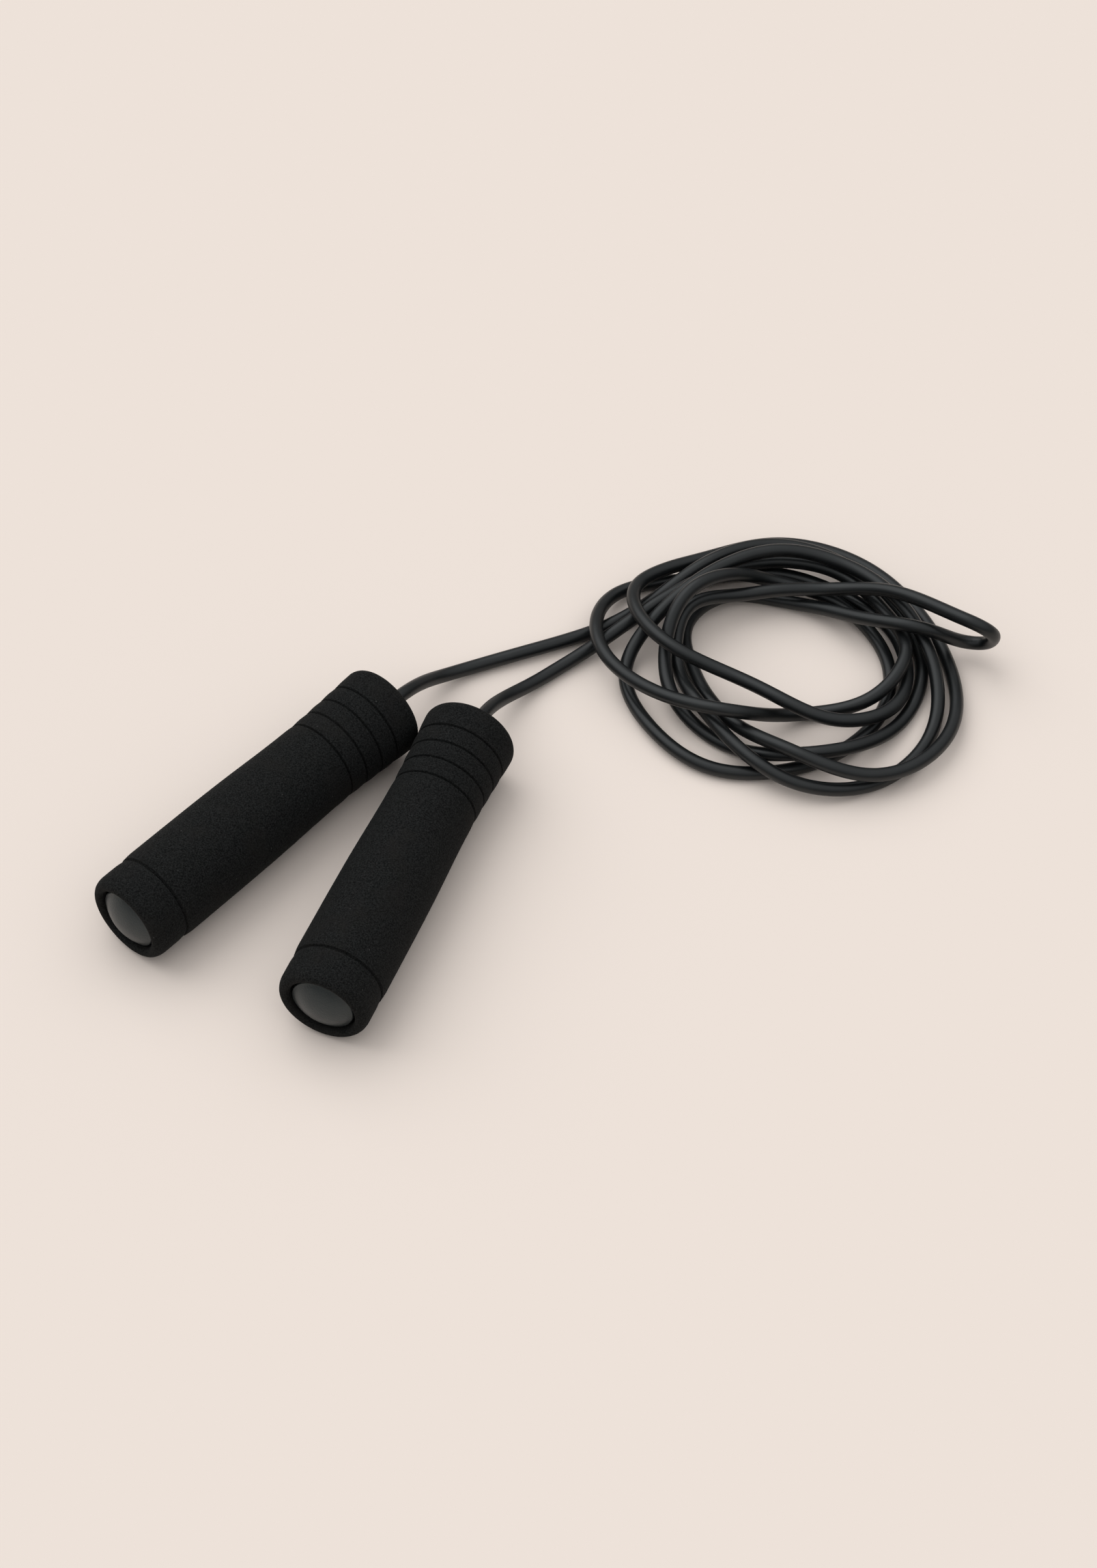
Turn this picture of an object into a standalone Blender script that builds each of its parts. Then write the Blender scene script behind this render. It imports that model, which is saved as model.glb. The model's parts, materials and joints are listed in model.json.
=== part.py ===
"""Jump rope: two foam handles on swivel bearings and one smooth rope, gathered in loose loops."""

import math

import bmesh
import bpy
import numpy as np
from mathutils import Euler, Vector

MM = 0.001

# Clearances
FIT_GAP = 0.3 * MM          # between pieces that touch
FLOOR_GAP = 0.3 * MM        # under a rope that lies on the floor
ROPE_RUN_GAP = 0.5 * MM     # rope to the bore of the bearing
NOSE_GAP = 1.2 * MM         # rope to the hole in the core's nose
GRIP_SPACING = 0.3 * MM     # between the two grips, where they lie closest
STRAND_GAP = 1.2 * MM       # between strands of the rope that cross

# Rope
ROPE_DIAMETER = 5.0 * MM
ROPE_TAIL = 4.0 * MM        # rope that stands out behind its stop
ROUTE_STEP = 3.0 * MM       # between the points at which the route is worked out
TUBE_SPACING = 12.0 * MM    # between a tube's points along the route, less in a bend
TUBE_BEND = math.radians(20)
SPREAD_PASSES = 200
SPREAD_PITCHES = 3          # strands further apart than so many pitches never come to touch
COIL_RESOLUTION = 1
LEAD_RESOLUTION = 2

# Foam grip, its thickness over the core tube at four places
GRIP_LENGTH = 129.5 * MM
FOAM_BUTT = 4.8 * MM
FOAM_MIDDLE = 4.3 * MM
FOAM_WAIST = 3.65 * MM
FOAM_FRONT = 4.9 * MM
WAIST_FROM_FRONT = 38.5 * MM
EDGE_RADIUS = 4.0 * MM
GROOVE_WIDTH = 1.6 * MM
GROOVE_DEPTH = 0.9 * MM
BUTT_GROOVE_AT = 14.1 * MM
FRONT_GROOVES = 4
FRONT_GROOVE_INSET = 12.2 * MM
FRONT_GROOVE_PITCH = 7.3 * MM
BODY_STEPS = 8              # plain spans between the butt groove and the front ones

# Core tube
CORE_RADIUS = 11.9 * MM
CORE_WALL = 2.3 * MM
CORE_FRONT_INSET = 2.0 * MM
NOSE_WALL = 3.2 * MM
LEAD_IN = 4.0 * MM

# End cap
CAP_RIM_INSET = 2.0 * MM
CAP_RIM_STEP = 0.9 * MM     # core's outside to the cap's rim
CAP_HEAD = 1.7 * MM
CAP_DOME = 2.6 * MM
SKIRT_WALL = 1.2 * MM
SKIRT_LENGTH = 8.0 * MM

# Swivel bearing
BALLS = 7
BALL_RADIUS = 1.25 * MM
RING_WALL = 0.7 * MM        # ring under its race
RACE_LIP = 0.8 * MM         # race depth below the ring's land
BEARING_WIDTH = 5.0 * MM
CAGE_RIM = 0.6 * MM         # cage beside its pockets
CAGE_THICKNESS = 0.9 * MM
CAGE_SIDES_PER_BALL = 4

# Rope stop
WASHER_THICKNESS = 1.0 * MM
WASHER_WALL = 1.4 * MM
STOP_LENGTH = 8.0 * MM
STOP_WALL = 2.9 * MM
SCREW_RADIUS = 1.2 * MM
SCREW_SINK = 0.3 * MM       # screw's head below the stop's outside
SOCKET_RADIUS = 0.65 * MM
SOCKET_DEPTH = 1.2 * MM

# Places of the handles on the floor, measured on their axes
RIGHT_BUTT = (7.11 * MM, -67.80 * MM)
RIGHT_HEADING = math.radians(22.76)
LEFT_HEADING = math.radians(42.77)
LEFT_LAG = 1.0 * MM         # left front face behind the right one

# Sides and steps of the round pieces
GRIP_SIDES = 32
SMALL_SIDES = 24
HOLE_SIDES = 16
SOCKET_SIDES = 6
BALL_SEGMENTS = 10
BALL_RINGS = 7
EDGE_STEPS = 5
RACE_STEPS = 6
DOME_STEPS = 6
BODY_SAMPLES = 120          # points read from the grip's smooth body line

# Route of the rope, as it lies in the photograph. It is doubled, and each half winds clockwise
# round the middle of the bundle, seen from above, from its handle to the bight.
# The turns are given hour by hour on a clock face, one turn a row, from the first hour on:
# the distance from the middle in mm, and the height in half ropes over a rope on the floor.
HOURS = 12
FIRST_HOUR = 10
MIDDLE = (168, 92)
LEFT_DISTANCES = (
    (56, 50, 54, 53, 51, 51, 49, 47, 44, 41, 42, 42),
    (39, 35, 36, 36, 37, 39, 41, 43, 47, 53, 55, 56),
    (45, 42, 44, 46, 48, 54, 61, 62, 54, 42, 37, 38),
    (39, 32, 30, 35, 45),
)
LEFT_LAYERS = (
    (1, 3, 2, 1, 0, 0, 0, 2, 2, 0, 1, 3),
    (7, 6, 2, 1, 0, 0, 0, 0, 0, 0, 0, 0),
    (4, 5, 5, 4, 4, 2, 0, 0, 1, 2, 2, 1),
    (4, 3, 3, 3, 6),
)
RIGHT_DISTANCES = (
    (51, 45, 46, 46, 44, 45, 37, 24, 24, 36, 46, 64),
    (68, 50, 45, 42, 44, 45, 45, 35, 24, 20, 23, 41),
    (60, 56, 59, 58, 57, 61, 67, 62, 46, 35, 31, 32),
    (39, 39, 32, 30, 33),
)
RIGHT_LAYERS = (
    (3, 3, 2, 2, 2, 3, 2, 0, 1, 5, 4, 3),
    (0, 0, 0, 0, 0, 1, 2, 3, 4, 4, 4, 5),
    (3, 1, 0, 0, 0, 0, 1, 2, 4, 2, 1, 0),
    (0, 0, 0, 1, 3),
)
# The stretches that aren't wound, as points x, y and height over a rope on the floor, in mm.
LEFT_LEAD = [(40.5, 81, 6.5), (45.5, 86, 3), (73.5, 98.5, 1)]
RIGHT_LEAD = [(66, 71, 7), (77.5, 84, 1)]
BIGHT = [
    (231.5, 98.5, 21), (238, 95, 20.5), (243, 94.5, 16.5), (244, 96.5, 11), (241.5, 99, 5.5),
    (235.5, 100.5, 4), (229, 99.5, 7.5), (221, 99, 12),
]

# Sizes that follow from those above
ROPE_RADIUS = ROPE_DIAMETER / 2
LYING = FLOOR_GAP + ROPE_RADIUS
HALF_LAYER = ROPE_RADIUS + FIT_GAP
TUBE_STEPS = round(TUBE_SPACING / ROUTE_STEP)
STRAND_PITCH = ROPE_DIAMETER + STRAND_GAP
SELF_DISTANCE = 4 * ROPE_DIAMETER   # along the rope, from where on it can meet itself
GRIP_BORE = CORE_RADIUS + FIT_GAP
FRONT_RADIUS = GRIP_BORE + FOAM_FRONT
CORE_BORE = CORE_RADIUS - CORE_WALL
CORE_BUTT = CAP_RIM_INSET + CAP_HEAD + FIT_GAP
CORE_FRONT = GRIP_LENGTH - CORE_FRONT_INSET
SHOULDER = CORE_FRONT - NOSE_WALL
BEARING_FRONT = SHOULDER - FIT_GAP
BEARING_MIDDLE = BEARING_FRONT - BEARING_WIDTH / 2
BEARING_BACK = BEARING_FRONT - BEARING_WIDTH
BEARING_BORE = ROPE_RADIUS + ROPE_RUN_GAP
RACE_RADIUS = BALL_RADIUS + FIT_GAP
PITCH_RADIUS = BEARING_BORE + RING_WALL + RACE_RADIUS
BEARING_RADIUS = PITCH_RADIUS + RACE_RADIUS + RING_WALL
WASHER_BACK = BEARING_BACK - FIT_GAP - WASHER_THICKNESS
STOP_FRONT = WASHER_BACK - FIT_GAP
STOP_BACK = STOP_FRONT - STOP_LENGTH
STOP_BORE = ROPE_RADIUS + FIT_GAP
STOP_RADIUS = STOP_BORE + STOP_WALL
ROPE_END = STOP_BACK - ROPE_TAIL
SHARP_ANGLE = math.radians(35)
MERGE_DISTANCE = 1e-7


def clear_scene():
    for item in list(bpy.data.objects):
        bpy.data.objects.remove(item)


def principled(name, color, roughness, metallic=0.0):
    look = bpy.data.materials.new(name)
    look.use_nodes = True
    shader = look.node_tree.nodes["Principled BSDF"]
    shader.inputs["Base Color"].default_value = (*color, 1.0)
    shader.inputs["Roughness"].default_value = roughness
    shader.inputs["Metallic"].default_value = metallic
    return look


def make_looks():
    return {
        "foam": principled("black foam", (0.018, 0.018, 0.019), 0.92),
        "rope": principled("black smooth plastic", (0.016, 0.017, 0.019), 0.34),
        "cap": principled("grey plastic", (0.10, 0.10, 0.098), 0.45),
        "core": principled("black hard plastic", (0.03, 0.03, 0.032), 0.5),
        "steel": principled("bearing steel", (0.55, 0.55, 0.56), 0.25, 1.0),
        "cage": principled("white nylon", (0.75, 0.73, 0.68), 0.5),
        "stop": principled("plain aluminium", (0.62, 0.62, 0.63), 0.4, 1.0),
    }


def add_object(name, data, look, parent=None, location=(0, 0, 0)):
    piece = bpy.data.objects.new(name, data)
    piece.location = location
    piece.parent = parent
    if look:
        data.materials.append(look)
    bpy.context.collection.objects.link(piece)
    return piece


def turned(name, outline, sides, closed=True):
    """Mesh of an outline of (radius, height) points, turned once round Z."""
    shape = bmesh.new()
    points = [shape.verts.new((radius, 0, height)) for radius, height in outline]
    pairs = list(zip(points, points[1:]))
    if closed:
        pairs.append((points[-1], points[0]))
    edges = [shape.edges.new(pair) for pair in pairs]
    bmesh.ops.spin(shape, geom=points + edges, cent=(0, 0, 0), axis=(0, 0, 1), angle=math.tau,
                   steps=sides, use_merge=True)
    bmesh.ops.remove_doubles(shape, verts=shape.verts, dist=MERGE_DISTANCE)
    bmesh.ops.recalc_face_normals(shape, faces=shape.faces)
    mesh = bpy.data.meshes.new(name)
    shape.to_mesh(mesh)
    shape.free()
    mesh.shade_smooth()
    mesh.set_sharp_from_angle(angle=SHARP_ANGLE)
    return mesh


def ring_outline(inner, outer, back, front):
    return [(outer, front), (outer, back), (inner, back), (inner, front)]


def cut(piece, cutter_name, cutter_mesh, place, parent):
    """Takes a hidden cutter out of a piece."""
    cutter = add_object(cutter_name, cutter_mesh, None, parent)
    cutter.matrix_basis = place
    cutter.hide_render = True
    cutter.display_type = 'WIRE'
    hole = piece.modifiers.new(cutter_name, 'BOOLEAN')
    hole.operation = 'DIFFERENCE'
    hole.solver = 'EXACT'
    hole.object = cutter


def smooth_curve(points, start_direction, end_direction):
    """Smooth curve through points, as a function of the distance along their chords."""
    points = np.asarray(points, dtype=float)
    spans = np.linalg.norm(np.diff(points, axis=0), axis=1)
    knots = np.concatenate([[0.0], np.cumsum(spans)])
    chords = np.diff(points, axis=0) / spans[:, None]
    count = len(points)
    system = np.eye(count)
    wanted = np.zeros_like(points)
    wanted[0] = start_direction
    wanted[-1] = end_direction
    for i in range(1, count - 1):
        before, after = spans[i - 1], spans[i]
        system[i, i - 1:i + 2] = after, 2 * (before + after), before
        wanted[i] = 3 * (after * chords[i - 1] + before * chords[i])
    slopes = np.linalg.solve(system, wanted)

    def at(distance):
        i = np.clip(np.searchsorted(knots, distance, side='right') - 1, 0, count - 2)
        span = spans[i][:, None]
        t = ((distance - knots[i]) / spans[i])[:, None]
        bend_in = slopes[i] - chords[i]
        bend_out = chords[i] - slopes[i + 1]
        ease = t * (1 - t)
        return points[i] + t * span * chords[i] + span * ease * ((1 - t) * bend_in + t * bend_out)

    return at, knots


def arc(center, radius, start, end, steps):
    angles = np.linspace(start, end, steps + 1)
    return [(center[0] + radius * math.cos(a), center[1] + radius * math.sin(a)) for a in angles]


def body_radius():
    """Radius of the grip's body as a function of the distance from its butt."""
    stations = [
        (BUTT_GROOVE_AT, GRIP_BORE + FOAM_BUTT),
        (GRIP_LENGTH / 2, GRIP_BORE + FOAM_MIDDLE),
        (GRIP_LENGTH - WAIST_FROM_FRONT, GRIP_BORE + FOAM_WAIST),
        (GRIP_LENGTH - EDGE_RADIUS, FRONT_RADIUS),
    ]
    first = np.subtract(stations[1], stations[0])
    last = np.subtract(stations[-1], stations[-2])
    at, knots = smooth_curve(stations, first / np.linalg.norm(first), last / np.linalg.norm(last))
    line = at(np.linspace(0, knots[-1], BODY_SAMPLES))
    return lambda place: float(np.interp(place, line[:, 0], line[:, 1]))


def grip_outline():
    radius = body_radius()
    grooves = [GRIP_LENGTH - FRONT_GROOVE_INSET - i * FRONT_GROOVE_PITCH for i in range(FRONT_GROOVES)]
    grooves.append(BUTT_GROOVE_AT)
    butt_radius = radius(EDGE_RADIUS)
    outline = arc((FRONT_RADIUS - EDGE_RADIUS, GRIP_LENGTH - EDGE_RADIUS), EDGE_RADIUS, math.pi / 2, 0,
                  EDGE_STEPS)
    clear = grooves[-2] - GROOVE_WIDTH
    plain = np.linspace(clear, grooves[-1] + GROOVE_WIDTH, BODY_STEPS + 1)
    for place in grooves[:-1]:
        outline += groove_points(place, radius)
    outline += [(radius(place), place) for place in plain]
    outline += groove_points(grooves[-1], radius)
    outline += arc((butt_radius - EDGE_RADIUS, EDGE_RADIUS), EDGE_RADIUS, 0, -math.pi / 2, EDGE_STEPS)
    outline += [(GRIP_BORE, 0), (GRIP_BORE, GRIP_LENGTH)]
    return outline


def groove_points(place, radius):
    half = GROOVE_WIDTH / 2
    floor = radius(place) - GROOVE_DEPTH
    return [
        (radius(place + half), place + half),
        (floor, place + half / 3),
        (floor, place - half / 3),
        (radius(place - half), place - half),
    ]


def core_outline():
    pocket = BEARING_RADIUS + FIT_GAP
    nose = ROPE_RADIUS + NOSE_GAP
    return [
        (CORE_RADIUS, CORE_FRONT), (CORE_RADIUS, CORE_BUTT), (CORE_BORE, CORE_BUTT),
        (CORE_BORE, BEARING_BACK - LEAD_IN), (pocket, BEARING_BACK), (pocket, SHOULDER),
        (nose, SHOULDER), (nose, CORE_FRONT),
    ]


def cap_outline():
    rim = CORE_RADIUS - CAP_RIM_STEP
    skirt = CORE_BORE - FIT_GAP
    seat = CAP_RIM_INSET + CAP_HEAD
    skirt_end = seat + SKIRT_LENGTH
    dome_radius = (rim ** 2 + CAP_DOME ** 2) / (2 * CAP_DOME)
    dome_center = (0, CAP_RIM_INSET - CAP_DOME + dome_radius)
    rim_angle = -math.acos(rim / dome_radius)
    outline = [(0, seat), (skirt - SKIRT_WALL, seat), (skirt - SKIRT_WALL, skirt_end), (skirt, skirt_end)]
    outline += [(skirt, seat), (rim, seat)]
    outline += arc(dome_center, dome_radius, rim_angle, -math.pi / 2, DOME_STEPS)
    outline[-1] = (0, CAP_RIM_INSET - CAP_DOME)
    return outline


def race_arc(facing):
    """Race in a ring: the part of a circle round the ball's place that lies below the ring's land."""
    half_angle = math.acos((RACE_RADIUS - RACE_LIP) / RACE_RADIUS)
    return arc((PITCH_RADIUS, 0), RACE_RADIUS, facing - half_angle, facing + half_angle, RACE_STEPS)


def outer_ring_outline():
    half = BEARING_WIDTH / 2
    land = PITCH_RADIUS + RACE_RADIUS - RACE_LIP
    return [(land, half), (BEARING_RADIUS, half), (BEARING_RADIUS, -half), (land, -half)] + race_arc(0)


def inner_ring_outline():
    half = BEARING_WIDTH / 2
    land = PITCH_RADIUS - RACE_RADIUS + RACE_LIP
    return [(land, -half), (BEARING_BORE, -half), (BEARING_BORE, half), (land, half)] + race_arc(math.pi)


def cylinder_mesh(name, radius, length, sides):
    shape = bmesh.new()
    bmesh.ops.create_cone(shape, cap_ends=True, segments=sides, radius1=radius, radius2=radius, depth=length)
    mesh = bpy.data.meshes.new(name)
    shape.to_mesh(mesh)
    shape.free()
    mesh.shade_smooth()
    mesh.set_sharp_from_angle(angle=SHARP_ANGLE)
    return mesh


def ball_mesh(name):
    shape = bmesh.new()
    bmesh.ops.create_uvsphere(shape, u_segments=BALL_SEGMENTS, v_segments=BALL_RINGS, radius=BALL_RADIUS)
    mesh = bpy.data.meshes.new(name)
    shape.to_mesh(mesh)
    shape.free()
    mesh.shade_smooth()
    return mesh


def radial_place(angle, distance, height):
    """Matrix that turns a piece's Z out along a radius and puts it there."""
    outward = Vector((math.cos(angle), math.sin(angle), 0))
    place = outward.to_track_quat('Z', 'Y').to_matrix().to_4x4()
    place.translation = outward * distance + Vector((0, 0, height))
    return place


def build_bearing(side, axis, looks):
    at_bearing = (0, 0, BEARING_MIDDLE)
    outer = turned(side + "_bearing_outer_ring", outer_ring_outline(), SMALL_SIDES)
    inner = turned(side + "_bearing_inner_ring", inner_ring_outline(), SMALL_SIDES)
    add_object(side + "_bearing_outer_ring", outer, looks["steel"], axis, at_bearing)
    add_object(side + "_bearing_inner_ring", inner, looks["steel"], axis, at_bearing)

    half_width = RACE_RADIUS + CAGE_RIM
    half_cage = CAGE_THICKNESS / 2
    band = ring_outline(PITCH_RADIUS - half_cage, PITCH_RADIUS + half_cage, -half_width, half_width)
    cage_mesh = turned(side + "_bearing_cage", band, BALLS * CAGE_SIDES_PER_BALL)
    cage = add_object(side + "_bearing_cage", cage_mesh, looks["cage"], axis, at_bearing)
    for number in range(BALLS):
        angle = math.tau * number / BALLS
        pocket = cylinder_mesh(f"{side}_pocket_{number + 1}", RACE_RADIUS, 4 * CAGE_THICKNESS, HOLE_SIDES)
        cut(cage, pocket.name, pocket, radial_place(angle, PITCH_RADIUS, BEARING_MIDDLE), axis)
        name = f"{side}_bearing_ball_{number + 1}"
        place = (PITCH_RADIUS * math.cos(angle), PITCH_RADIUS * math.sin(angle), BEARING_MIDDLE)
        add_object(name, ball_mesh(name), looks["steel"], axis, place)


def build_stop(side, axis, looks):
    washer = ring_outline(STOP_BORE, STOP_BORE + WASHER_WALL, WASHER_BACK, WASHER_BACK + WASHER_THICKNESS)
    washer_mesh = turned(side + "_thrust_washer", washer, SMALL_SIDES)
    add_object(side + "_thrust_washer", washer_mesh, looks["steel"], axis)

    collar = ring_outline(STOP_BORE, STOP_RADIUS, STOP_BACK, STOP_FRONT)
    collar_mesh = turned(side + "_rope_stop", collar, SMALL_SIDES)
    stop = add_object(side + "_rope_stop", collar_mesh, looks["stop"], axis)
    up = -math.pi / 2
    middle = (STOP_BACK + STOP_FRONT) / 2
    hole_length = 2 * (STOP_WALL + ROPE_RADIUS)
    hole = cylinder_mesh(side + "_screw_hole", SCREW_RADIUS + FIT_GAP, hole_length, HOLE_SIDES)
    cut(stop, hole.name, hole, radial_place(up, STOP_RADIUS, middle), axis)

    screw_length = STOP_WALL - SCREW_SINK
    screw_end = STOP_RADIUS - SCREW_SINK
    screw_mesh = cylinder_mesh(side + "_stop_screw", SCREW_RADIUS, screw_length, HOLE_SIDES)
    screw = add_object(side + "_stop_screw", screw_mesh, looks["steel"], axis)
    screw.matrix_basis = radial_place(up, screw_end - screw_length / 2, middle)
    socket = cylinder_mesh(side + "_screw_socket", SOCKET_RADIUS, 2 * SOCKET_DEPTH, SOCKET_SIDES)
    cut(screw, socket.name, socket, radial_place(up, screw_end, middle), axis)


def build_handle(side, butt, heading, looks):
    """One handle round an empty that stands on its spin axis, with Z from butt to front."""
    axis = bpy.data.objects.new(side + "_axis", None)
    axis.location = (*butt, FRONT_RADIUS)
    axis.rotation_euler = Euler((-math.pi / 2, 0, -heading))
    bpy.context.collection.objects.link(axis)
    grip = turned(side + "_foam_grip", grip_outline(), GRIP_SIDES)
    core = turned(side + "_core_tube", core_outline(), GRIP_SIDES)
    cap = turned(side + "_end_cap", cap_outline(), GRIP_SIDES, closed=False)
    add_object(side + "_foam_grip", grip, looks["foam"], axis)
    add_object(side + "_core_tube", core, looks["core"], axis)
    add_object(side + "_end_cap", cap, looks["cap"], axis)
    build_bearing(side, axis, looks)
    build_stop(side, axis, looks)


def heading_vector(heading):
    return Vector((math.sin(heading), math.cos(heading)))


def left_butt():
    """The left grip's front edge lies beside the right grip's flank."""
    ahead, left_ahead = heading_vector(RIGHT_HEADING), heading_vector(LEFT_HEADING)
    turn = LEFT_HEADING - RIGHT_HEADING
    edge_center = (FRONT_RADIUS - EDGE_RADIUS) * math.cos(turn) - EDGE_RADIUS * math.sin(turn)
    side_step = FRONT_RADIUS + edge_center + EDGE_RADIUS + GRIP_SPACING
    to_left = Vector((-ahead.y, ahead.x))
    right_front = Vector(RIGHT_BUTT) + ahead * GRIP_LENGTH
    front = right_front + to_left * side_step - ahead * LEFT_LAG
    return front - left_ahead * GRIP_LENGTH


def free_points(points):
    """Points of a stretch that isn't wound, in metres."""
    return [(x * MM, y * MM, height * MM + LYING) for x, y, height in points]


def wound_points(distances, layers):
    """Points of one half's turns, from its handle to the bight."""
    hourly = zip(sum(distances, ()), sum(layers, ()))
    points = []
    for number, (distance, layer) in enumerate(hourly):
        angle = math.tau * (FIRST_HOUR + number) / HOURS
        x = MIDDLE[0] + distance * math.sin(angle)
        y = MIDDLE[1] + distance * math.cos(angle)
        points.append((x * MM, y * MM, layer * HALF_LAYER + LYING))
    return points


def spread(start, places):
    """Moves strands that lie too close apart, pass by pass, over the floor and with no new kinks."""
    reach = np.linalg.norm(start[:, None] - start[None, :], axis=2)
    far_along = np.abs(places[:, None] - places[None, :]) > SELF_DISTANCE
    one, other = np.nonzero((reach < SPREAD_PITCHES * STRAND_PITCH) & far_along)
    spots = start.copy()
    for _ in range(SPREAD_PASSES):
        apart = spots[one] - spots[other]
        distance = np.linalg.norm(apart, axis=1)
        short = np.maximum(STRAND_PITCH - distance, 0)
        pushes = np.zeros_like(spots)
        np.add.at(pushes, one, apart * (short / distance / 2)[:, None])
        pushed_by = np.zeros(len(spots))
        np.add.at(pushed_by, one, short > 0)
        moved = spots + pushes / np.maximum(pushed_by, 1)[:, None] - start
        moved[1:-1] = moved[1:-1] / 2 + (moved[:-2] + moved[2:]) / 4
        moved[:TUBE_STEPS] = 0
        moved[-TUBE_STEPS:] = 0
        spots = start + moved
        spots[:, 2] = np.maximum(spots[:, 2], LYING)
    return spots


def handle_point(butt, heading, along):
    spot = Vector(butt) + heading_vector(heading) * along
    return np.array((spot.x, spot.y, FRONT_RADIUS))


def tube(name, points, resolution, look):
    curve = bpy.data.curves.new(name, 'CURVE')
    curve.dimensions = '3D'
    curve.bevel_depth = ROPE_RADIUS
    curve.bevel_resolution = resolution
    curve.use_fill_caps = True
    spline = curve.splines.new('POLY')
    spline.points.add(len(points) - 1)
    for node, point in zip(spline.points, points):
        node.co = (*point, 1.0)
    return add_object(name, curve, look)


def least_self_gap(points):
    """Least gap of a tube to itself, on points set closely along it."""
    spans = np.linalg.norm(np.diff(points, axis=0), axis=1)
    places = np.concatenate([[0.0], np.cumsum(spans)])
    along = np.arange(0, places[-1], ROPE_RADIUS / 2)
    close = np.stack([np.interp(along, places, points[:, i]) for i in range(3)], axis=1)
    apart = np.linalg.norm(close[:, None] - close[None, :], axis=2)
    near = np.abs(along[:, None] - along[None, :]) < SELF_DISTANCE
    apart[near] = np.inf
    return apart.min() - ROPE_DIAMETER


def rope_route(butts):
    """Points along the rope from front face to front face, and where the left and right lead end."""
    left_front = handle_point(butts["left"], LEFT_HEADING, GRIP_LENGTH)
    right_front = handle_point(butts["right"], RIGHT_HEADING, GRIP_LENGTH)
    left_half = free_points(LEFT_LEAD) + wound_points(LEFT_DISTANCES, LEFT_LAYERS)
    right_half = free_points(RIGHT_LEAD) + wound_points(RIGHT_DISTANCES, RIGHT_LAYERS)
    route = [left_front] + left_half + free_points(BIGHT) + right_half[::-1] + [right_front]
    out_of_left = np.array((*heading_vector(LEFT_HEADING), 0))
    into_right = -np.array((*heading_vector(RIGHT_HEADING), 0))
    at, knots = smooth_curve(route, out_of_left, into_right)
    places = np.linspace(0, knots[-1], round(knots[-1] / ROUTE_STEP) + 1)
    lead_ends = np.searchsorted(places, [knots[len(LEFT_LEAD)], knots[-1 - len(RIGHT_LEAD)]])
    return spread(at(places), places), lead_ends


def tube_end(spots, i, way):
    """Two points of a tube's straight end, next to a joint in the rope."""
    along = spots[i + 1] - spots[i - 1]
    along *= way / np.linalg.norm(along)
    return [spots[i] + along * FIT_GAP / 2, spots[i] + along * ROPE_DIAMETER]


def tube_points(spots):
    """Few points of a tube along the route, closer together in a bend."""
    ways = np.diff(spots, axis=0)
    ways /= np.linalg.norm(ways, axis=1)[:, None]
    kept = [0]
    for i in range(1, len(ways)):
        bend = math.acos(min(ways[kept[-1]] @ ways[i], 1))
        if i - kept[-1] >= TUBE_STEPS or bend > TUBE_BEND:
            kept.append(i)
    return list(spots[kept])


def build_rope(butts, looks):
    spots, (first, last) = rope_route(butts)
    middle = tube_points(spots[first + TUBE_STEPS:last - TUBE_STEPS])
    coil = np.array(tube_end(spots, first, 1) + middle + tube_end(spots, last, -1)[::-1])
    print(f"least gap of the coil to itself: {least_self_gap(coil) / MM:.2f} mm")
    tube("rope_coil", coil, COIL_RESOLUTION, looks["rope"])

    left_end = handle_point(butts["left"], LEFT_HEADING, ROPE_END)
    right_end = handle_point(butts["right"], RIGHT_HEADING, ROPE_END)
    left_lead = tube_points(spots[:first - TUBE_STEPS]) + tube_end(spots, first, -1)[::-1]
    right_lead = tube_points(spots[:last + TUBE_STEPS:-1]) + tube_end(spots, last, 1)[::-1]
    tube("rope_lead_left", [left_end] + left_lead, LEAD_RESOLUTION, looks["rope"])
    tube("rope_lead_right", [right_end] + right_lead, LEAD_RESOLUTION, looks["rope"])


def main():
    clear_scene()
    looks = make_looks()
    butts = {"left": left_butt(), "right": Vector(RIGHT_BUTT)}
    build_handle("left", butts["left"], LEFT_HEADING, looks)
    build_handle("right", butts["right"], RIGHT_HEADING, looks)
    build_rope(butts, looks)


main()
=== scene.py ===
"""Looks of a foam-handled jump rope, lying in loose loops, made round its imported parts."""

import json
import math

import bmesh
import bpy
import numpy as np
from mathutils import Matrix, Vector


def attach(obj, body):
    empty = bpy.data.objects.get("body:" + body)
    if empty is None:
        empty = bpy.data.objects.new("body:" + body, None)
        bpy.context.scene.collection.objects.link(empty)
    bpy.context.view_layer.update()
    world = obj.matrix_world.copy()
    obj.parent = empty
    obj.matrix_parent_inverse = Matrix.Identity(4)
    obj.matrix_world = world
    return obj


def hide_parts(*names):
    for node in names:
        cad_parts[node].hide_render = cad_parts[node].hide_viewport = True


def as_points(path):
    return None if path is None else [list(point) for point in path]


bl_info = {
    "name": "Foam-Handled Jump Rope",
    "version": (1, 0, 0),
    "blender": (4, 5, 0),
    "location": "View3D > Sidebar > Jump Rope",
    "description": "Rope, foam grips, end caps and swivels of a jump rope that lies in loose loops",
    "category": "Add Mesh",
}

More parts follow.
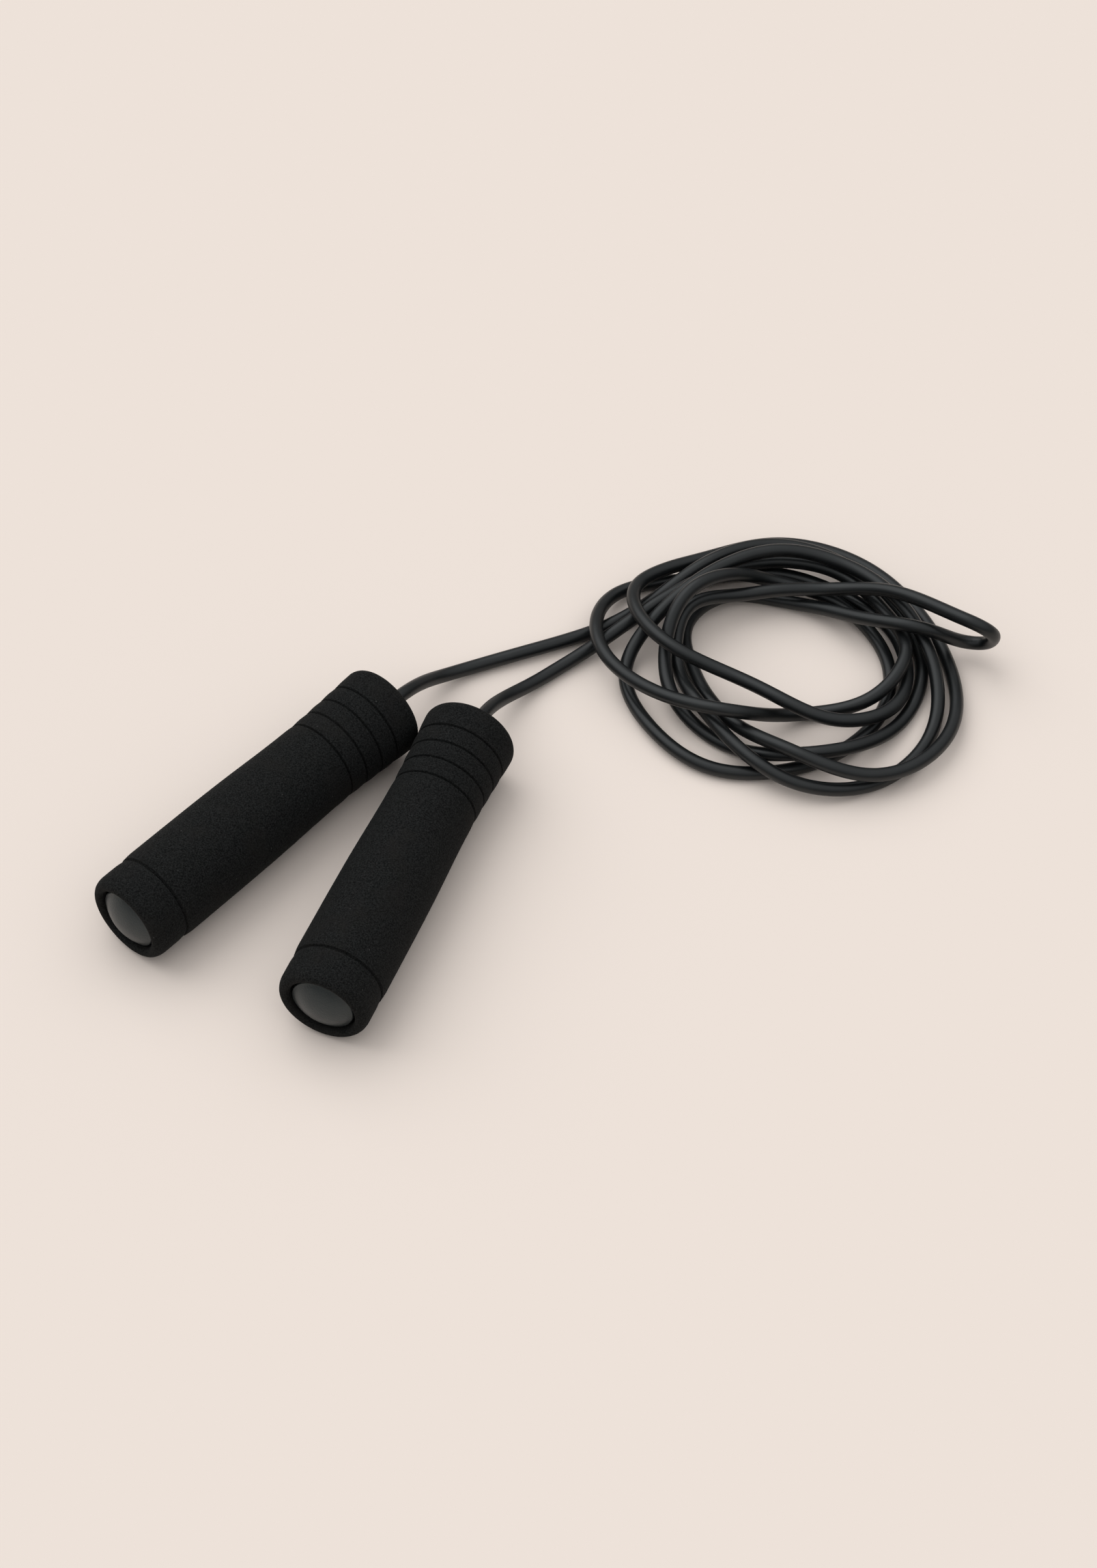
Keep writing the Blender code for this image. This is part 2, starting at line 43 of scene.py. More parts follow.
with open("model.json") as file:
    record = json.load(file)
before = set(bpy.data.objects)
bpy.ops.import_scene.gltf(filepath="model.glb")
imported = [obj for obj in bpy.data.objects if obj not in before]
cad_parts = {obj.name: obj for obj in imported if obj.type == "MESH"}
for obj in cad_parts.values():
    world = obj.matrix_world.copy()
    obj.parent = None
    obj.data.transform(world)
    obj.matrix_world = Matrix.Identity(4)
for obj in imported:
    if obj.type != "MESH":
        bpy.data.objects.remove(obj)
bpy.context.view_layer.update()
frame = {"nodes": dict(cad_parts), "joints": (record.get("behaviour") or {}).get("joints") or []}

MM = 0.001
SIDES = ("left", "right")
UP = Vector((0, 0, 1))

# Stage: the photograph's view, the way the key light shines, and half the floor's side
CAMERA_TARGET = Vector((0.08395, 0.04126, 0))
CAMERA_DISTANCE = 1.5456
CAMERA_ELEVATION = math.radians(52.18)
CAMERA_LENS = 100
CAMERA_SENSOR = 36
KEY_HEADING = Vector((0.65, -0.5, -0.95))
FLOOR_HALF = 4.0

# Finishes: tints of the plastics' gloss, colours that have no setting, and how dark their spots are
ROPE_GLOSS = (0.95, 0.99, 1.0, 1.0)
CAP_GLOSS = (0.86, 0.97, 1.0, 1.0)
FOAM_DUST = (0.0125, 0.0115, 0.0105)
FOAM_FLECK = (0.045, 0.045, 0.043)
CORE_COLOUR = (0.012, 0.012, 0.013)
STEEL_COLOUR = (0.56, 0.56, 0.57)
NYLON_COLOUR = (0.74, 0.72, 0.67)
ALLOY_COLOUR = (0.62, 0.62, 0.63)
CAP_MARK_SHADE = 0.8
PATCH_SHADE = 0.72
GRAINS_PER_PATCH = 8
ROPE_SURFACE = "rope_surface"   # attribute that holds the place round and along the rope
ROPE_LINES_ALONG = 0.012    # squeezes the length, so that the lines run along the rope

# Route of the rope. It is doubled, and each half winds clockwise round the middle of the bundle,
# seen from above, from its handle to the bight. The turns are given hour by hour on a clock face,
# one turn a row, from the first hour on: the distance from the middle in mm, and the height in
# half ropes over a rope on the floor.
HOURS = 12
FIRST_HOUR = 10
MIDDLE = (168, 92)
LEFT_DISTANCES = (
    (56, 50, 54, 53, 51, 51, 49, 47, 44, 41, 42, 42),
    (39, 35, 36, 36, 37, 39, 41, 43, 47, 53, 55, 56),
    (45, 42, 44, 46, 48, 54, 61, 62, 54, 42, 37, 38),
    (39, 32, 30, 35, 45),
)
LEFT_LAYERS = (
    (1, 3, 2, 1, 0, 0, 0, 2, 2, 0, 1, 3),
    (7, 6, 2, 1, 0, 0, 0, 0, 0, 0, 0, 0),
    (4, 5, 5, 4, 4, 2, 0, 0, 1, 2, 2, 1),
    (4, 3, 3, 3, 6),
)
RIGHT_DISTANCES = (
    (51, 45, 46, 46, 44, 45, 37, 24, 24, 36, 46, 64),
    (68, 50, 45, 42, 44, 45, 45, 35, 24, 20, 23, 41),
    (60, 56, 59, 58, 57, 61, 67, 62, 46, 35, 31, 32),
    (39, 39, 32, 30, 33),
)
RIGHT_LAYERS = (
    (3, 3, 2, 2, 2, 3, 2, 0, 1, 5, 4, 3),
    (0, 0, 0, 0, 0, 1, 2, 3, 4, 4, 4, 5),
    (3, 1, 0, 0, 0, 0, 1, 2, 4, 2, 1, 0),
    (0, 0, 0, 1, 3),
)
# The stretches that aren't wound, as points x, y and height over a rope on the floor, in mm.
LEFT_LEAD = [(40.5, 81, 6.5), (45.5, 86, 3), (73.5, 98.5, 1)]
RIGHT_LEAD = [(66, 71, 7), (77.5, 84, 1)]
BIGHT = [
    (231.5, 98.5, 21), (238, 95, 20.5), (243, 94.5, 16.5), (244, 96.5, 11), (241.5, 99, 5.5),
    (235.5, 100.5, 4), (229, 99.5, 7.5), (221, 99, 12),
]
FIT_GAP = 0.3 * MM
STRAND_GAP = 1.2 * MM
ROUTE_STEP = 3.0 * MM
SPREAD_PASSES = 200
SPREAD_PITCHES = 3
OTHER_STRAND = 4            # diameters along the rope from which a point counts as another strand's
STILL_POINTS = 4
RING_STEP = 1.25 * MM

# Foam grip: where its body line passes, measured from its butt end and on its radius
BUTT_GROOVE_AT = 14.1 * MM
BODY_STATIONS = [
    (BUTT_GROOVE_AT, 17.0 * MM),
    (64.75 * MM, 16.5 * MM),
    (91.0 * MM, 15.85 * MM),
    (125.5 * MM, 17.1 * MM),
]
BODY_SAMPLES = 400
GROOVES = [BUTT_GROOVE_AT, 95.4 * MM, 102.7 * MM, 110.0 * MM, 117.3 * MM]
BUTT_STEP = 0.35 * MM
FRONT_EDGE = 4.0 * MM
FRONT_MOUTH = 0.8 * MM
BUTT_EDGE = 2.7 * MM
BUTT_ROUND = 4.6 * MM
BUTT_MOUTH = 1.7 * MM
GRIP_BORE = 12.2 * MM
GRIP_SIDES = 200
GRIP_STEP = 0.42 * MM
GROOVE_STEP = 0.12 * MM
EDGE_STEPS = 12
MOUTH_STEPS = 5
BORE_RINGS = 10

# Core tube and end cap, measured from the grip's butt end and on the radius
CORE_RADIUS = 11.9 * MM
CORE_BORE = 9.6 * MM
CORE_BUTT = 4.0 * MM
CORE_FRONT = 127.5 * MM
CORE_ROUND = 0.7 * MM
POCKET_RADIUS = 7.8 * MM
POCKET_BACK = 119.0 * MM
POCKET_FRONT = 124.3 * MM
POCKET_LEAD_IN = 4.0 * MM
NOSE_HOLE = 3.7 * MM
CAP_RIM = 11.3 * MM
CAP_RIM_AT = 2.0 * MM
CAP_RIM_LEFT = 0.4          # angle of the rim's rounding that the dome takes over, in radians
CAP_SEAT = 3.7 * MM
SKIRT_RADIUS = 9.3 * MM
SKIRT_WALL = 1.2 * MM
SKIRT_END = 11.7 * MM
SKIRT_CHAMFER = 0.4 * MM
TURNED_SIDES = 128
DOME_STEPS = 28
MERGE_DISTANCE = 1e-7
SHARP_ANGLE = math.radians(40)
QUARTER = math.pi / 2


def handle_line(side):
    """Butt end of a handle, and the direction from there to its front."""
    joint = next(j for j in frame["joints"] if j["name"] == side + "_handle_spin")
    return Vector(joint["pos_m"]), Vector(joint["axis"]).normalized()


def measure_along(node, side):
    """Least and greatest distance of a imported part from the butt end, along its handle's axis."""
    butt, axis = handle_line(side)
    places = [(vertex.co - butt).dot(axis) for vertex in frame["nodes"][node].data.vertices]
    return min(places), max(places)


def handle_matrix(side):
    """Place of a handle: Z runs from its butt end to its front, Y points up."""
    butt, axis = handle_line(side)
    across = UP.cross(axis).normalized()
    place = Matrix((across, axis.cross(across), axis)).transposed().to_4x4()
    place.translation = butt
    return place


GRIP_LENGTH = measure_along("left_foam_grip", "left")[1]


class RopeSettings(bpy.types.PropertyGroup):
    diameter: bpy.props.FloatProperty(
        name="Diameter", description="Thickness of the rope", default=5.0 * MM, min=1.0 * MM, unit='LENGTH')
    sides: bpy.props.IntProperty(
        name="Sides", description="Faces round the rope", default=24, min=6, max=64)
    colour: bpy.props.FloatVectorProperty(
        name="Colour", description="Colour of the smooth plastic", subtype='COLOR', size=3,
        default=(0.0024, 0.0030, 0.0034), min=0, max=1)
    worn_colour: bpy.props.FloatVectorProperty(
        name="Worn Colour", description="Colour where handling has dulled the plastic", subtype='COLOR',
        size=3, default=(0.0064, 0.0073, 0.0078), min=0, max=1)


class GripSettings(bpy.types.PropertyGroup):
    groove_width: bpy.props.FloatProperty(
        name="Groove Width", description="Width of a turned groove", default=0.7 * MM, min=0, unit='LENGTH')
    groove_depth: bpy.props.FloatProperty(
        name="Groove Depth", description="Depth of a turned groove", default=0.95 * MM, min=0, unit='LENGTH')
    crown_depth: bpy.props.FloatProperty(
        name="Crown Depth", description="How far the foam rounds off towards a groove", default=0.22 * MM,
        min=0, unit='LENGTH')
    butt_crown_depth: bpy.props.FloatProperty(
        name="Butt Crown Depth", description="How far the foam rounds off towards the groove at the butt",
        default=0.32 * MM, min=0, unit='LENGTH')
    crown_width: bpy.props.FloatProperty(
        name="Crown Width", description="How wide the foam rounds off beside a groove", default=2.2 * MM,
        min=0.1 * MM, unit='LENGTH')
    grain_size: bpy.props.FloatProperty(
        name="Grain Size", description="Size of the foam's uneven skin", default=1.2 * MM, min=0.1 * MM,
        unit='LENGTH')
    grain_depth: bpy.props.FloatProperty(
        name="Grain Depth", description="Depth of the foam's uneven skin", default=0.04 * MM, min=0,
        unit='LENGTH')
    colour: bpy.props.FloatVectorProperty(
        name="Colour", description="Colour of the foam", subtype='COLOR', size=3,
        default=(0.0022, 0.0025, 0.0025), min=0, max=1)
    # The grain colour is far lighter than the foam's own: painted highlight on the raised cells, over their
    # real grain tone
    grain_glint_colour: bpy.props.FloatVectorProperty(
        name="Grain Colour", description="Colour of the foam's raised grain", subtype='COLOR', size=3,
        default=(0.0178, 0.0186, 0.0184), min=0, max=1)


class CapSettings(bpy.types.PropertyGroup):
    colour: bpy.props.FloatVectorProperty(
        name="Colour", description="Colour of the moulded cap", subtype='COLOR', size=3,
        default=(0.0185, 0.0220, 0.0226), min=0, max=1)
    dome: bpy.props.FloatProperty(
        name="Dome", description="Height of the cap's dome over its rim", default=4.0 * MM, min=0,
        unit='LENGTH')
    rim_radius: bpy.props.FloatProperty(
        name="Rim Radius", description="Rounding of the cap's rim", default=0.5 * MM, min=0, unit='LENGTH')


class StageSettings(bpy.types.PropertyGroup):
    floor_colour: bpy.props.FloatVectorProperty(
        name="Floor Colour", description="Colour of the plain floor", subtype='COLOR', size=3,
        default=(0.855, 0.765, 0.700), min=0, max=1)
    key_strength: bpy.props.FloatProperty(
        name="Key Strength", description="Strength of the wide soft light from the upper left", default=1.0,
        min=0)
    key_spread: bpy.props.FloatProperty(
        name="Key Spread", description="Width of the soft light as seen from the floor",
        default=math.radians(65), min=0, max=math.pi, subtype='ANGLE')
    low_sky: bpy.props.FloatProperty(
        name="Low Sky", description="Strength of the light from the sides", default=0.08, min=0)
    high_sky: bpy.props.FloatProperty(
        name="High Sky", description="Strength of the light from straight above", default=1.04, min=0)


def add_node(tree, kind, inputs=None, **settings):
    """New node with its settings, and each input either linked to a socket or set to a value."""
    node = tree.nodes.new(kind)
    for name, value in settings.items():
        setattr(node, name, value)
    for name, value in (inputs or {}).items():
        if isinstance(value, bpy.types.NodeSocket):
            tree.links.new(value, node.inputs[name])
        else:
            node.inputs[name].default_value = value
    return node


def new_finish(name, **sockets):
    """Material with one Principled shader, and the values that are the same all over it."""
    finish = bpy.data.materials.new(name)
    finish.use_nodes = True
    shader = finish.node_tree.nodes["Principled BSDF"]
    for socket, value in sockets.items():
        shader.inputs[socket.replace("_", " ")].default_value = value
    return finish, finish.node_tree, shader


def colour(rgb):
    """Opaque colour for a socket."""
    return (*rgb, 1.0)


def darker(rgb, share):
    """Colour with a share of its brightness."""
    return tuple(share * value for value in rgb)


def noise(tree, vector, scale, detail=2.0, roughness=0.5):
    """Noise from 0 to 1."""
    inputs = {"Vector": vector, "Scale": scale, "Detail": detail, "Roughness": roughness}
    return add_node(tree, "ShaderNodeTexNoise", inputs).outputs["Fac"]


def ramp(tree, value, low, high):
    """Value stretched so that low becomes 0 and high becomes 1."""
    inputs = {"Value": value, "From Min": low, "From Max": high}
    return add_node(tree, "ShaderNodeMapRange", inputs).outputs["Result"]


def scatter(tree, vector, scale):
    """Distance from the nearest of many scattered spots."""
    return add_node(tree, "ShaderNodeTexVoronoi", {"Vector": vector, "Scale": scale}).outputs["Distance"]


def gloss(tree, shader, value, smooth, rough):
    """Makes a surface go from smooth to rough as a value goes from 0 to 1."""
    dull = add_node(tree, "ShaderNodeMapRange", {"Value": value, "To Min": smooth, "To Max": rough})
    tree.links.new(dull.outputs["Result"], shader.inputs["Roughness"])


def blend_colours(tree, factor, first, second):
    """Colour that goes from the first to the second as the factor goes from 0 to 1."""
    node = add_node(tree, "ShaderNodeMix", data_type='RGBA')
    tree.links.new(factor, node.inputs["Factor"])
    for socket, value in (("A", first), ("B", second)):
        target = next(s for s in node.inputs if s.name == socket and s.type == 'RGBA')
        if isinstance(value, bpy.types.NodeSocket):
            tree.links.new(value, target)
        else:
            target.default_value = colour(value)
    return next(s for s in node.outputs if s.type == 'RGBA')


def bump(tree, height, distance, strength, under=None):
    """Surface direction of a bumpy skin, over another one if that is given."""
    inputs = {"Height": height, "Distance": distance, "Strength": strength}
    if under is not None:
        inputs["Normal"] = under
    return add_node(tree, "ShaderNodeBump", inputs).outputs["Normal"]


def object_coords(tree):
    """Place on the piece, in metres."""
    return add_node(tree, "ShaderNodeTexCoord").outputs["Object"]


def foam_finish(settings):
    """Closed-cell foam: a fine dull grain of raised cells whose tops carry a painted highlight, dusty patches
    and a few pale flecks.
    """
    finish, tree, shader = new_finish("black_foam", Roughness=0.94, Specular_IOR_Level=0.12)
    place = object_coords(tree)
    grain = noise(tree, place, scale=1900, detail=3.0, roughness=0.65)
    cells = scatter(tree, place, scale=2600)
    patches = noise(tree, place, scale=55, detail=3.0, roughness=0.6)
    flecks = scatter(tree, place, scale=170)
    # Raised cells take the lighter grain colour: painted highlight on their tops, over the real grain tone
    raised = ramp(tree, grain, low=0.38, high=0.66)
    grain_and_glints = blend_colours(tree, raised, settings.colour, settings.grain_glint_colour)
    dusty = blend_colours(tree, ramp(tree, patches, low=0.52, high=0.85), grain_and_glints, FOAM_DUST)
    coat = blend_colours(tree, ramp(tree, flecks, low=0.045, high=0.03), dusty, FOAM_FLECK)
    tree.links.new(coat, shader.inputs["Base Color"])
    rough = bump(tree, grain, distance=0.10 * MM, strength=0.7)
    celled = bump(tree, cells, distance=0.06 * MM, strength=0.5, under=rough)
    tree.links.new(celled, shader.inputs["Normal"])
    return finish


def rope_finish(settings):
    """Smooth extruded plastic: satin, with faint lines along it and duller stretches from handling."""
    finish, tree, shader = new_finish("black_smooth_plastic", Specular_IOR_Level=0.42,
                                      Specular_Tint=ROPE_GLOSS)
    surface = add_node(tree, "ShaderNodeAttribute", attribute_name=ROPE_SURFACE).outputs["Vector"]
    stretched = add_node(tree, "ShaderNodeMapping", {"Vector": surface, "Scale": (1, 1, ROPE_LINES_ALONG)})
    lines = noise(tree, stretched.outputs["Vector"], scale=1500)
    wear = noise(tree, surface, scale=75, detail=4.0, roughness=0.6)
    skin = noise(tree, surface, scale=2600)
    worn = ramp(tree, wear, low=0.42, high=0.72)
    shade = blend_colours(tree, worn, settings.colour, settings.worn_colour)
    tree.links.new(shade, shader.inputs["Base Color"])
    gloss(tree, shader, wear, smooth=0.32, rough=0.46)
    fine = bump(tree, skin, distance=0.012 * MM, strength=0.5)
    lined = bump(tree, lines, distance=0.03 * MM, strength=0.5, under=fine)
    tree.links.new(lined, shader.inputs["Normal"])
    return finish


def cap_finish(settings):
    """Moulded grey plastic with a fine spark-eroded grain and faint handling marks."""
    finish, tree, shader = new_finish("grey_moulded_plastic", Specular_IOR_Level=0.45,
                                      Specular_Tint=CAP_GLOSS)
    place = object_coords(tree)
    grain = noise(tree, place, scale=1700)
    marks = noise(tree, place, scale=210, detail=4.0, roughness=0.65)
    marked = darker(settings.colour, CAP_MARK_SHADE)
    shade = blend_colours(tree, ramp(tree, marks, low=0.35, high=0.65), settings.colour, marked)
    tree.links.new(shade, shader.inputs["Base Color"])
    gloss(tree, shader, marks, smooth=0.34, rough=0.46)
    tree.links.new(bump(tree, grain, distance=0.12 * MM, strength=0.7), shader.inputs["Normal"])
    return finish


def hard_finish(name, rgb, grain_scale, grain_depth, smooth, rough, **sockets):
    """Hard piece with a fine grain, its gloss going from smooth to rough over the grain's patches."""
    finish, tree, shader = new_finish(name, **sockets)
    place = object_coords(tree)
    grain = noise(tree, place, grain_scale, detail=3.0, roughness=0.6)
    patches = noise(tree, place, grain_scale / GRAINS_PER_PATCH, detail=3.0, roughness=0.6)
    shade = blend_colours(tree, ramp(tree, patches, low=0.35, high=0.7), rgb, darker(rgb, PATCH_SHADE))
    tree.links.new(shade, shader.inputs["Base Color"])
    gloss(tree, shader, patches, smooth, rough)
    tree.links.new(bump(tree, grain, grain_depth, strength=0.5), shader.inputs["Normal"])
    return finish


def add_piece(name, mesh, body, slot, *nodes):
    """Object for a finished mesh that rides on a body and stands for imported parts."""
    piece = bpy.data.objects.new(name, mesh)
    bpy.context.scene.collection.objects.link(piece)
    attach(piece, body)
    if nodes:
        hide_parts(*nodes)
    return piece


def finish_node(name, finish):
    """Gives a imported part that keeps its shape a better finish."""
    node = frame["nodes"][name]
    node.data.materials.clear()
    node.data.materials.append(finish)


def turned_mesh(name, outline, sides, place, closed=True):
    """Mesh of an outline of (radius, height) points, turned once round Z and put in its place."""
    shape = bmesh.new()
    points = [shape.verts.new((radius, 0, height)) for radius, height in outline]
    pairs = list(zip(points, points[1:]))
    if closed:
        pairs.append((points[-1], points[0]))
    edges = [shape.edges.new(pair) for pair in pairs]
    bmesh.ops.spin(shape, geom=points + edges, cent=(0, 0, 0), axis=(0, 0, 1), angle=math.tau,
                   steps=sides, use_merge=True)
    bmesh.ops.remove_doubles(shape, verts=shape.verts, dist=MERGE_DISTANCE)
    bmesh.ops.recalc_face_normals(shape, faces=shape.faces)
    shape.transform(place)
    mesh = bpy.data.meshes.new(name)
    shape.to_mesh(mesh)
    shape.free()
    mesh.shade_smooth()
    mesh.set_sharp_from_angle(angle=SHARP_ANGLE)
    return mesh


def arc(center, radius, start, end, steps, height=None):
    """Points of a circle's arc, or of an ellipse's where its half height isn't its radius."""
    height = height or radius
    angles = np.linspace(start, end, steps + 1)
    return [(center[0] + radius * math.cos(a), center[1] + height * math.sin(a)) for a in angles]


def smooth_curve(points, start_direction, end_direction):
    """Smooth curve through points, as a function of the distance along their chords."""
    points = np.asarray(points, dtype=float)
    spans = np.linalg.norm(np.diff(points, axis=0), axis=1)
    knots = np.concatenate([[0.0], np.cumsum(spans)])
    chords = np.diff(points, axis=0) / spans[:, None]
    count = len(points)
    system = np.eye(count)
    wanted = np.zeros_like(points)
    wanted[0] = start_direction
    wanted[-1] = end_direction
    for i in range(1, count - 1):
        before, after = spans[i - 1], spans[i]
        system[i, i - 1:i + 2] = after, 2 * (before + after), before
        wanted[i] = 3 * (after * chords[i - 1] + before * chords[i])
    slopes = np.linalg.solve(system, wanted)

    def at(distance):
        i = np.clip(np.searchsorted(knots, distance, side='right') - 1, 0, count - 2)
        span = spans[i][:, None]
        t = ((distance - knots[i]) / spans[i])[:, None]
        bend_in = slopes[i] - chords[i]
        bend_out = chords[i] - slopes[i + 1]
        ease = t * (1 - t)
        return points[i] + t * span * chords[i] + span * ease * ((1 - t) * bend_in + t * bend_out)

    return at, knots


def free_points(points, lying):
    """Points of a stretch that isn't wound, in metres."""
    return [(x * MM, y * MM, height * MM + lying) for x, y, height in points]


def wound_points(distances, layers, lying, half_layer):
    """Points of one half's turns, from its handle to the bight."""
    hourly = zip(sum(distances, ()), sum(layers, ()))
    points = []
    for number, (distance, layer) in enumerate(hourly):
        angle = math.tau * (FIRST_HOUR + number) / HOURS
        x = MIDDLE[0] + distance * math.sin(angle)
        y = MIDDLE[1] + distance * math.cos(angle)
        points.append((x * MM, y * MM, layer * half_layer + lying))
    return points


def spread(start, places, diameter, lying):
    """Moves strands that lie too close apart, pass by pass, over the floor and with no new kinks."""
    pitch = diameter + STRAND_GAP
    reach = np.linalg.norm(start[:, None] - start[None, :], axis=2)
    far_along = np.abs(places[:, None] - places[None, :]) > OTHER_STRAND * diameter
    one, other = np.nonzero((reach < SPREAD_PITCHES * pitch) & far_along)
    spots = start.copy()
    for _ in range(SPREAD_PASSES):
        apart = spots[one] - spots[other]
        distance = np.linalg.norm(apart, axis=1)
        short = np.maximum(pitch - distance, 0)
        pushes = np.zeros_like(spots)
        np.add.at(pushes, one, apart * (short / distance / 2)[:, None])
        pushed_by = np.zeros(len(spots))
        np.add.at(pushed_by, one, short > 0)
        moved = spots + pushes / np.maximum(pushed_by, 1)[:, None] - start
        moved[1:-1] = moved[1:-1] / 2 + (moved[:-2] + moved[2:]) / 4
        moved[:STILL_POINTS] = 0
        moved[-STILL_POINTS:] = 0
        spots = start + moved
        spots[:, 2] = np.maximum(spots[:, 2], lying)
    return spots


def rope_route(diameter):
    """Closely set points along the whole rope, from its end in the left handle to that in the right."""
    lying = FIT_GAP + diameter / 2
    half_layer = diameter / 2 + FIT_GAP
    ends, fronts, axes = [], [], []
    for side in SIDES:
        butt, axis = handle_line(side)
        tail = measure_along("rope_lead_" + side, side)[0]
        ends.append(butt + axis * tail)
        fronts.append(butt + axis * GRIP_LENGTH)
        axes.append(axis)
    left_half = free_points(LEFT_LEAD, lying)
    left_half += wound_points(LEFT_DISTANCES, LEFT_LAYERS, lying, half_layer)
    right_half = free_points(RIGHT_LEAD, lying)
    right_half += wound_points(RIGHT_DISTANCES, RIGHT_LAYERS, lying, half_layer)
    route = [fronts[0]] + left_half + free_points(BIGHT, lying) + right_half[::-1] + [fronts[1]]
    at, knots = smooth_curve(route, axes[0], -axes[1])
    places = np.linspace(0, knots[-1], round(knots[-1] / ROUTE_STEP) + 1)
    spots = spread(at(places), places, diameter, lying)
    whole = np.vstack([[ends[0]], spots, [ends[1]]])
    along, length = smooth_curve(whole, axes[0], -axes[1])
    rings = round(length[-1] / RING_STEP)
    return along(np.linspace(0, length[-1], rings + 1)), fronts[0]


def new_tree(name, *sockets):
    """Geometry tree with a geometry in and out, and named inputs."""
    tree = bpy.data.node_groups.new(name, 'GeometryNodeTree')
    tree.interface.new_socket(name="Geometry", in_out='INPUT', socket_type='NodeSocketGeometry')
    tree.interface.new_socket(name="Geometry", in_out='OUTPUT', socket_type='NodeSocketGeometry')
    for label, kind in sockets:
        tree.interface.new_socket(name=label, in_out='INPUT', socket_type=kind)
    return tree, add_node(tree, "NodeGroupInput").outputs


def end_tree(tree, geometry, material):
    """Gives the geometry its material and ends the tree."""
    whole = add_node(tree, "GeometryNodeRealizeInstances", {"Geometry": geometry})
    dressed = add_node(tree, "GeometryNodeSetMaterial", {"Geometry": whole.outputs[0], "Material": material})
    add_node(tree, "NodeGroupOutput", {"Geometry": dressed.outputs[0]})


def rope_tree():
    """Sweeps a circle along the rope's line, and keeps the place round and along it for the finish."""
    tree, given = new_tree("Swept Rope", ("Diameter", 'NodeSocketFloat'), ("Sides", 'NodeSocketInt'),
                           ("Material", 'NodeSocketMaterial'))
    half = add_node(tree, "ShaderNodeMath", {0: given["Diameter"], 1: 0.5}, operation='MULTIPLY')
    ring = add_node(tree, "GeometryNodeCurvePrimitiveCircle",
                    {"Resolution": given["Sides"], "Radius": half.outputs[0]})
    round_it = add_node(tree, "GeometryNodeCaptureAttribute", {"Geometry": ring.outputs["Curve"]})
    round_it.capture_items.new('VECTOR', "Round")
    tree.links.new(add_node(tree, "GeometryNodeInputPosition").outputs[0], round_it.inputs["Round"])
    along_it = add_node(tree, "GeometryNodeCaptureAttribute", {"Geometry": given["Geometry"]})
    along_it.capture_items.new('FLOAT', "Along")
    tree.links.new(add_node(tree, "GeometryNodeSplineParameter").outputs["Length"], along_it.inputs["Along"])
    swept = add_node(tree, "GeometryNodeCurveToMesh", {
        "Curve": along_it.outputs["Geometry"], "Profile Curve": round_it.outputs["Geometry"],
        "Fill Caps": True})
    spot = add_node(tree, "ShaderNodeSeparateXYZ", {"Vector": round_it.outputs["Round"]})
    surface = add_node(tree, "ShaderNodeCombineXYZ", {
        "X": spot.outputs["X"], "Y": spot.outputs["Y"], "Z": along_it.outputs["Along"]})
    kept = add_node(tree, "GeometryNodeStoreNamedAttribute", {
        "Geometry": swept.outputs["Mesh"], "Name": ROPE_SURFACE, "Value": surface.outputs["Vector"]},
        data_type='FLOAT_VECTOR', domain='POINT')
    smooth = add_node(tree, "GeometryNodeSetShadeSmooth", {"Geometry": kept.outputs["Geometry"]})
    end_tree(tree, smooth.outputs["Geometry"], given["Material"])
    return tree


def skin_tree():
    """Sinks a turned foam piece here and there, so that its skin is uneven."""
    tree, given = new_tree("Foam Skin", ("Grain Size", 'NodeSocketFloat'), ("Grain Depth", 'NodeSocketFloat'),
                           ("Seed", 'NodeSocketFloat'), ("Material", 'NodeSocketMaterial'))
    scale = add_node(tree, "ShaderNodeMath", {0: 1.0, 1: given["Grain Size"]}, operation='DIVIDE')
    grain = add_node(tree, "ShaderNodeTexNoise", {
        "W": given["Seed"], "Scale": scale.outputs[0], "Detail": 2.0}, noise_dimensions='4D')
    sunk = add_node(tree, "ShaderNodeMath", {
        0: grain.outputs["Fac"], 1: given["Grain Depth"]}, operation='MULTIPLY')
    inward = add_node(tree, "ShaderNodeVectorMath", {
        "Vector": add_node(tree, "GeometryNodeInputNormal").outputs["Normal"]}, operation='SCALE')
    back = add_node(tree, "ShaderNodeMath", {0: sunk.outputs[0], 1: -1.0}, operation='MULTIPLY')
    tree.links.new(back.outputs[0], inward.inputs["Scale"])
    moved = add_node(tree, "GeometryNodeSetPosition", {
        "Geometry": given["Geometry"], "Offset": inward.outputs["Vector"]})
    end_tree(tree, moved.outputs["Geometry"], given["Material"])
    return tree


def run_tree(name, data, tree, values):
    """Runs a geometry tree on a mesh or curve, and returns the result as a plain mesh."""
    source = bpy.data.objects.new(name + "_source", data)
    bpy.context.scene.collection.objects.link(source)
    modifier = source.modifiers.new(tree.name, 'NODES')
    modifier.node_group = tree
    for socket in tree.interface.items_tree:
        if socket.in_out == 'INPUT' and socket.name in values:
            modifier[socket.identifier] = values[socket.name]
    evaluated = source.evaluated_get(bpy.context.evaluated_depsgraph_get())
    mesh = bpy.data.meshes.new_from_object(evaluated)
    mesh.name = name
    bpy.data.objects.remove(source)
    return mesh


